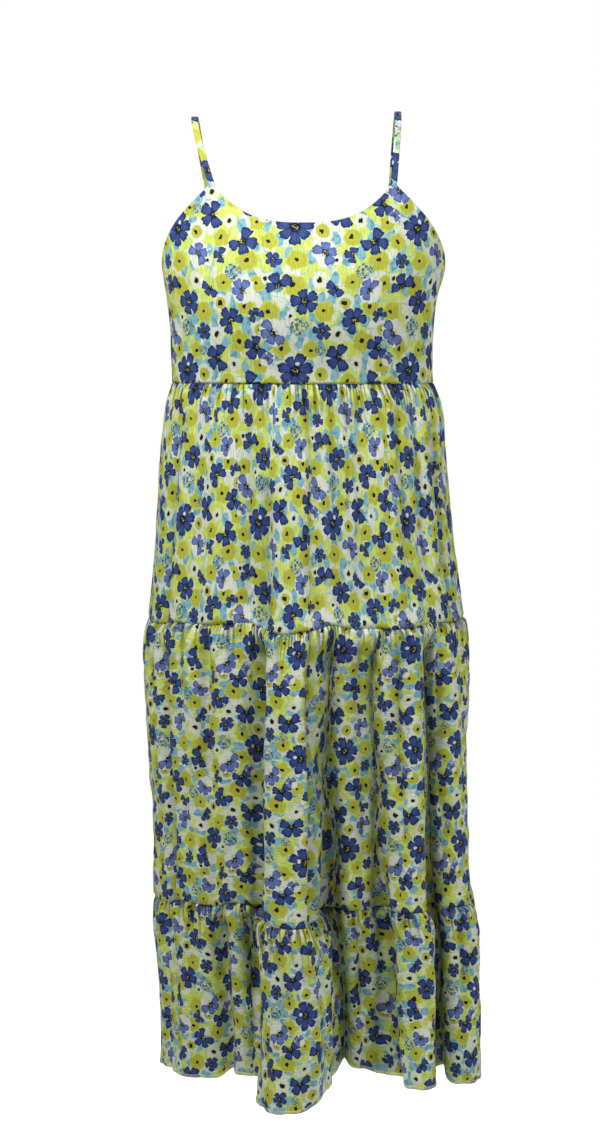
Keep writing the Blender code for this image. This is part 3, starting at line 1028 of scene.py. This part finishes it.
def chart_facts(g, number, chart):
    """Looks up a motif's turn, petals and openness, each as a share, and its kind."""
    ramp = g.node("ShaderNodeValToRGB", (number + 0.5) / len(chart))
    ramp.color_ramp.interpolation = "CONSTANT"
    stops = ramp.color_ramp.elements
    while len(stops) < len(chart):
        stops.new(0.5)
    for i, motif in enumerate(chart):
        stops[i].position = i / len(chart)
        stops[i].color = (motif.turn / 360, motif.petals / MOST_PETALS, motif.open, motif.kind / KINDS)
    colour = g.node("ShaderNodeSeparateColor", ramp.outputs["Color"])
    turn, petals, openness = (Value(g, part) for part in colour.outputs)
    petals = g.math("ROUND", petals * MOST_PETALS)
    kind = g.math("ROUND", Value(g, ramp.outputs["Alpha"]) * KINDS)
    return turn * WHOLE_TURN, petals, openness, kind


def petal_place(g, place, turn, petals):
    """Where a point lies along and across its nearest petal, the petal's number, and the radius."""
    x, y, _ = g.parts(place)
    share = (g.math("ARCTAN2", y, x) - turn) / WHOLE_TURN * petals
    nearest = g.math("ROUND", share)
    local = (share - nearest) * WHOLE_TURN / petals
    radius = g.vector("LENGTH", g.joined(x, y))
    along = radius * g.math("COSINE", local)
    across = radius * g.math("SINE", local)
    return along, across, g.math("FLOORED_MODULO", nearest, petals), radius


def is_kind(g, kind, value):
    return g.math("COMPARE", kind, value, 0.4)


def petal_shape(g, along, across, which, petals, chance):
    """How far inside a petal's outline a point is, and the brush marks that roughen it."""
    widest = (1.80 / petals + 0.05) * (chance * 0.16 + 0.90)
    lean = across / (widest * (along * 0.85 + 0.38))
    brush = g.noise(g.joined(along * 1.2, across, which), 7.0)
    teeth = abs(g.math("COSINE", lean * (1.5 * math.pi)))
    notched = (1 - teeth) * 0.06 + along
    ends = (abs(notched - 0.57) / 0.46) ** 3.4
    inside = (1 - lean * lean - ends) * 0.20
    return (brush - 0.5) * 0.09 + inside, brush


def petal_colour(g, along, across, inside, brush, pale, spot, number):
    """A petal's dark rim and foot, light strokes and, where it has one, its light spot."""
    light = g.choose(pale, PERIWINKLE, PERIWINKLE_LIGHT)
    body = g.choose(pale, COBALT_BLUE, PERIWINKLE)
    body = g.choose(g.step(brush, 0.40, 0.62) * 0.22, body, PERIWINKLE)
    stroke = g.step(g.noise(g.joined(along * 0.7, across * 6.0, number), 3.0), 0.44, 0.52)
    stroke = stroke * g.step(inside, 0.06, 0.11) * g.fall(along, 0.66, 0.86)
    body = g.choose(stroke * 0.55, body, light)
    body = g.choose(g.step(inside, 0.07, 0.17) * 0.20, body, light)
    rim = g.larger(g.fall(inside, 0.032, 0.062), g.fall(along, 0.20, 0.36))
    body = g.choose(rim, body, g.choose(pale, NAVY, COBALT_BLUE))
    from_spot = g.vector("DISTANCE", g.joined(along, across), (0.40, 0.03, 0))
    return g.choose(g.fall(from_spot, 0.10, 0.14) * spot, body, CREAM)


def outlined_florets(g, place, radius, brush, florets, under):
    """Lays clusters of small outlined florets over the colour beneath."""
    distance, tint = g.cells(place, 2.3, 0.9)
    reach = (brush - 0.5) * 0.5 + distance
    outline = g.larger(g.fall(abs(reach - 0.30), 0.06, 0.10), g.fall(reach, 0.06, 0.12))
    cluster = florets * g.fall(radius, 0.82, 0.92)
    colour = g.choose(g.step(tint, 0.45, 0.55), PERIWINKLE, CREAM)
    filled = g.choose(cluster * (g.fall(reach, 0.30, 0.36) * 0.7), under, colour)
    return g.choose(cluster * outline, filled, NAVY)


def blue_flowers(g, cloth, under):
    """Lays the cobalt, periwinkle and outlined flowers over the colour beneath."""
    place = nearest_motif(g, cloth, BLUE_CHART)
    number = g.parts(place)[2]
    turn, petals, openness, kind = chart_facts(g, number, BLUE_CHART)
    along, across, which, radius = petal_place(g, place, turn, petals)
    drawn = g.node("ShaderNodeTexWhiteNoise", g.joined(which, number), noise_dimensions="2D")
    chance = Value(g, drawn.outputs["Value"])
    along = along / (chance * 0.24 + 0.80)
    inside, brush = petal_shape(g, along, across, which, petals, chance)
    there = g.math("LESS_THAN", (which + 0.5) / petals, openness)
    petal = g.step(inside, 0.010, 0.030) * there

    pale = is_kind(g, kind, PALE)
    florets = is_kind(g, kind, FLORETS)
    spot = is_kind(g, kind, SPOTTED) * is_kind(g, which, 1)
    body = petal_colour(g, along, across, inside, brush, pale, spot, number)
    halo_edge = g.noise(place, 2.2) * 0.9 + 0.50
    halo = g.fall(radius - halo_edge, -0.03, 0.03) * g.larger(pale, florets * 0.35)
    under = g.choose(halo, under, g.choose(florets, CREAM, AQUA))
    flower = g.choose(petal * (1 - florets), under, body)
    flower = outlined_florets(g, place, radius, brush, florets, flower)

    speckle = g.step(g.noise(place, 11.0, 1.0), 0.56, 0.62)
    heart = g.fall(radius - ((brush - 0.5) * 0.16 + 0.17), -0.02, 0.02)
    flower = g.choose(heart * (1 - florets), flower, g.choose(speckle, INK, POLLEN))
    stamens = g.fall(abs(radius - 0.27), 0.03, 0.06) * speckle
    return g.choose(stamens * (1 - florets), flower, INK)


def yellow_flowers(g, cloth, under):
    """Lays the yellow, white and ringed flowers with their dark hearts over the ground."""
    place = nearest_motif(g, cloth, YELLOW_CHART)
    number = g.parts(place)[2]
    turn, petals, _, kind = chart_facts(g, number, YELLOW_CHART)
    along, across, _, radius = petal_place(g, place, turn, petals)
    wobble = (g.noise(place, 2.6) - 0.5) * 0.5
    inside = wobble + 0.94 - abs(across) * 0.36 - radius
    white = is_kind(g, kind, WHITE)
    ringed = is_kind(g, kind, RINGED)
    veins = g.step(g.noise(g.joined(along * 0.6, across * 7.0, number), 2.5), 0.50, 0.60)
    olive = g.choose(veins * 0.50, OLIVE, OLIVE_DEEP)
    olive = g.choose(g.fall(inside, 0.05, 0.24), olive, LIME)
    cream = g.choose(veins * 0.30, CREAM, SKETCH)
    body = g.choose(white, olive, cream)
    body = g.choose(ringed * g.step(radius, 0.46, 0.56), body, cream)
    body = g.choose(white * g.fall(radius, 0.34, 0.42) * 0.5, body, LIME)
    flower = g.choose(g.step(inside, -0.02, 0.14), under, body)
    x, y, _ = g.parts(g.vector("ADD", place, (0.05, -0.03, 0)))
    from_heart = g.vector("LENGTH", g.joined(x, y))
    heart_edge = wobble + (white * 0.10 + 0.17)
    return g.choose(g.fall(from_heart - heart_edge, -0.02, 0.03), flower, INK)


def ground(g, cloth):
    """Lime ground with cream patches, pencil scribbles, aqua leaves and thin stems."""
    colour = g.choose(g.step(g.noise(cloth, 95.0), 0.52, 0.56), LIME, LIME_LIGHT)
    scribble = g.fall(abs(g.noise(cloth, 210.0, 1.0) - 0.5), 0.012, 0.03)
    paper = g.choose(scribble * 0.5, CREAM, SKETCH)
    colour = g.choose(g.step(g.noise(cloth, 42.0), 0.52, 0.54), colour, paper)
    distance, tint = g.cells(g.vector("MULTIPLY", cloth, (1.0, 0.72, 1.0)), 78.0)
    leaf = g.step(tint, 0.52, 0.53) * g.fall(distance, 0.44, 0.49)
    leaf_colour = g.choose(g.step(g.noise(cloth, 160.0), 0.5, 0.6), AQUA, AQUA_DEEP)
    colour = g.choose(leaf, colour, leaf_colour)
    stem = g.fall(abs(g.noise(cloth, 30.0, 1.0) - 0.46), 0.006, 0.012)
    return g.choose(stem * 0.8, colour, AQUA)


def make_print():
    """The cloth's pattern as a group: print coordinates in metres go in, colour and relief come
    out, the colour with painted light and shade along the crinkles. Its lines waver as if drawn
    by hand, and slip along the crepe's crinkles."""
    tree = bpy.data.node_groups.new("garden_print", "ShaderNodeTree")
    tree.interface.new_socket("Cloth", in_out="INPUT", socket_type="NodeSocketVector")
    tree.interface.new_socket("Color", in_out="OUTPUT", socket_type="NodeSocketColor")
    tree.interface.new_socket("Crinkle", in_out="OUTPUT", socket_type="NodeSocketFloat")
    g = Graph(tree)
    start = g.node("NodeGroupInput").outputs[0]
    crinkle = g.noise(g.vector("MULTIPLY", start, (1.0, 0.11, 1.0)), 620.0, 3.0, 0.6)
    jag = g.noise(g.vector("MULTIPLY", start, (1.0, 0.10, 1.0)), 900.0, 1.0)
    hand = g.noise_node(start, 120.0, 2.0, 0.5).outputs["Color"]
    hand = g.vector("MULTIPLY", g.vector("SUBTRACT", hand, (0.5,) * 3), (HAND_WAVER,) * 3)
    cloth = g.vector("ADD", g.vector("ADD", start, hand), g.joined(0.0, (jag - 0.5) * CREPE_SLIP))
    cloth = g.vector("MULTIPLY", cloth, (1.0, 1.0, 0.0))
    colour = blue_flowers(g, cloth, yellow_flowers(g, cloth, ground(g, cloth)))
    # Painted light and shade along the crinkles: the colour is lighter on their ridges and darker in
    # their valleys
    crinkle_light_and_shade = (crinkle - 0.5) * 0.9 + 1.0
    g.node("NodeGroupOutput", g.shaded(colour, crinkle_light_and_shade), crinkle)
    return tree


def pleat_lines(g):
    """Fine pleats below a gathered seam: how deep the cloth lies between two puffs, 0 to 1."""
    across, down_cloth, _ = g.parts(g.map("pleats"))
    below = down_cloth - PLEATED
    gathered = g.math("GREATER_THAN", below, -PLEATED / 2)
    reach = g.step(g.noise(g.joined(across * 75.0, 3.7), 1.0, 1.0), 0.32, 0.68)
    reach = reach * (PLEAT_REACH[1] - PLEAT_REACH[0]) + PLEAT_REACH[0]
    fade = g.math("SUBTRACT", 1.0, below / reach, clamp=True)
    wave = abs(g.noise(g.joined(across * 125.0, below * 9.0), 1.0, 1.0, 0.4) - 0.5)
    return g.fall(wave, 0.0, 0.075) * fade * gathered


def new_material(name):
    """A material, its graph and its shader."""
    material = bpy.data.materials.new(name)
    material.use_nodes = True
    return material, Graph(material.node_tree), material.node_tree.nodes["Principled BSDF"]


def cloth_material(name, pattern, wrong_side=False):
    """Matte crinkled crepe. Its wrong side shows the print faded."""
    material, g, shader = new_material(name)
    group = g.node("ShaderNodeGroup", node_tree=pattern)
    g.feed(group.inputs[0], g.map("cloth"))
    colour = group.outputs["Color"]
    if wrong_side:
        colour = g.choose(FADED, colour, FADED_COLOUR)
    # The pleats' depth makes the bump, and also painted shade in their valleys between the puffs
    pleat = pleat_lines(g)
    hollow = g.parts(g.map("hollow"))[0]
    # Painted shade: the colour is darkened in deep creases and between the fine pleats
    colour = g.shaded(colour, g.larger(pleat, hollow) * -PAINTED_SHADE_STRENGTH + 1.0)
    g.feed(shader.inputs["Base Color"], colour)
    for setting, value in CREPE_FINISH.items():
        shader.inputs[setting].default_value = value
    bump = g.node("ShaderNodeBump")
    bump.inputs["Strength"].default_value = BUMP_STRENGTH
    bump.inputs["Distance"].default_value = BUMP_DISTANCE
    g.feed(bump.inputs["Height"], pleat * -PLEAT_DEPTH + Value(g, group.outputs["Crinkle"]))
    g.feed(shader.inputs["Normal"], bump.outputs[0])
    return material


# Stage


def make_camera():
    """The camera at the photograph's place."""
    lens = bpy.data.cameras.new("camera")
    lens.sensor_fit = "VERTICAL"
    lens.sensor_height = SENSOR_HEIGHT
    lens.lens = FOCAL_LENGTH
    camera = placed("camera", lens)
    camera.location = CAMERA_PLACE
    camera.rotation_euler = (math.radians(90 - CAMERA_DOWN), 0, 0)
    bpy.context.scene.camera = camera


def make_light():
    """A white studio and three soft lamps."""
    world = bpy.data.worlds.new("studio")
    world.use_nodes = True
    g = Graph(world.node_tree)
    background = world.node_tree.nodes["Background"]
    background.inputs["Color"].default_value = (1, 1, 1, 1)
    seen = Value(g, g.node("ShaderNodeLightPath").outputs["Is Camera Ray"])
    g.feed(background.inputs["Strength"], seen * (1 - ROOM_LIGHT) + ROOM_LIGHT)
    bpy.context.scene.world = world
    for name, location, target, size, power in LIGHTS:
        lamp = bpy.data.lights.new(name, "AREA")
        lamp.shape = "DISK"
        lamp.size = size
        lamp.energy = power
        holder = placed(name, lamp)
        holder.location = location
        x, y, z = np.array(target) - np.array(location)
        holder.rotation_euler = (math.atan2(math.hypot(x, y), -z), 0, math.atan2(-x, y))


def make_floor():
    """A pale round floor that glows though it is no lamp: faintly in front of the dress, and up to
    white behind the dress and far from it.
    """
    turns = np.linspace(0, WHOLE_TURN, FLOOR_CORNERS, endpoint=False)
    corners = [(FLOOR_RADIUS * math.cos(t), FLOOR_RADIUS * math.sin(t), FLOOR_Z) for t in turns]
    mesh = bpy.data.meshes.new("floor")
    mesh.from_pydata(corners, [], [tuple(range(FLOOR_CORNERS))])
    material, g, shader = new_material("floor")
    shader.inputs["Base Color"].default_value = FLOOR_COLOUR
    shader.inputs["Roughness"].default_value = FLOOR_ROUGHNESS
    place = g.node("ShaderNodeTexCoord").outputs["Object"]
    behind = g.step(g.parts(place)[1], 0.25, 0.75)
    far = g.step(g.vector("LENGTH", g.vector("MULTIPLY", place, (1, 1, 0))), 0.80, 1.45)
    # Painted light: the floor's glow, which also lights the dress a little
    shader.inputs["Emission Color"].default_value = (1, 1, 1, 1)
    g.feed(shader.inputs["Emission Strength"], g.larger(behind, far) * 0.86 + 0.06)
    mesh.materials.append(material)
    placed("floor", mesh)


def main():
    bpy.context.scene.view_settings.view_transform = "Standard"
    make_camera()
    make_light()
    make_floor()
    pattern = make_print()
    materials = (
        cloth_material("printed_crepe_right_side", pattern),
        cloth_material("printed_crepe_wrong_side", pattern, wrong_side=True),
    )
    for behind in (False, True):
        bodice = make_bodice(behind, materials)
        for tier in TIERS:
            panel, points, cloth_uv = make_tier(tier, behind, materials)
            hems = []
            if tier.bottom == HEM:
                hem_name = "hem_back" if behind else "hem_front"
                hems = [make_hem(points, cloth_uv, hem_name, materials)]
    make_strap("strap_left", BODICE_FRONT.left_x, STRAP_TOP_LEFT, BODICE_BACK.left_x, materials)
    make_strap("strap_right", BODICE_FRONT.right_x, STRAP_TOP_RIGHT, BODICE_BACK.right_x, materials)


main()
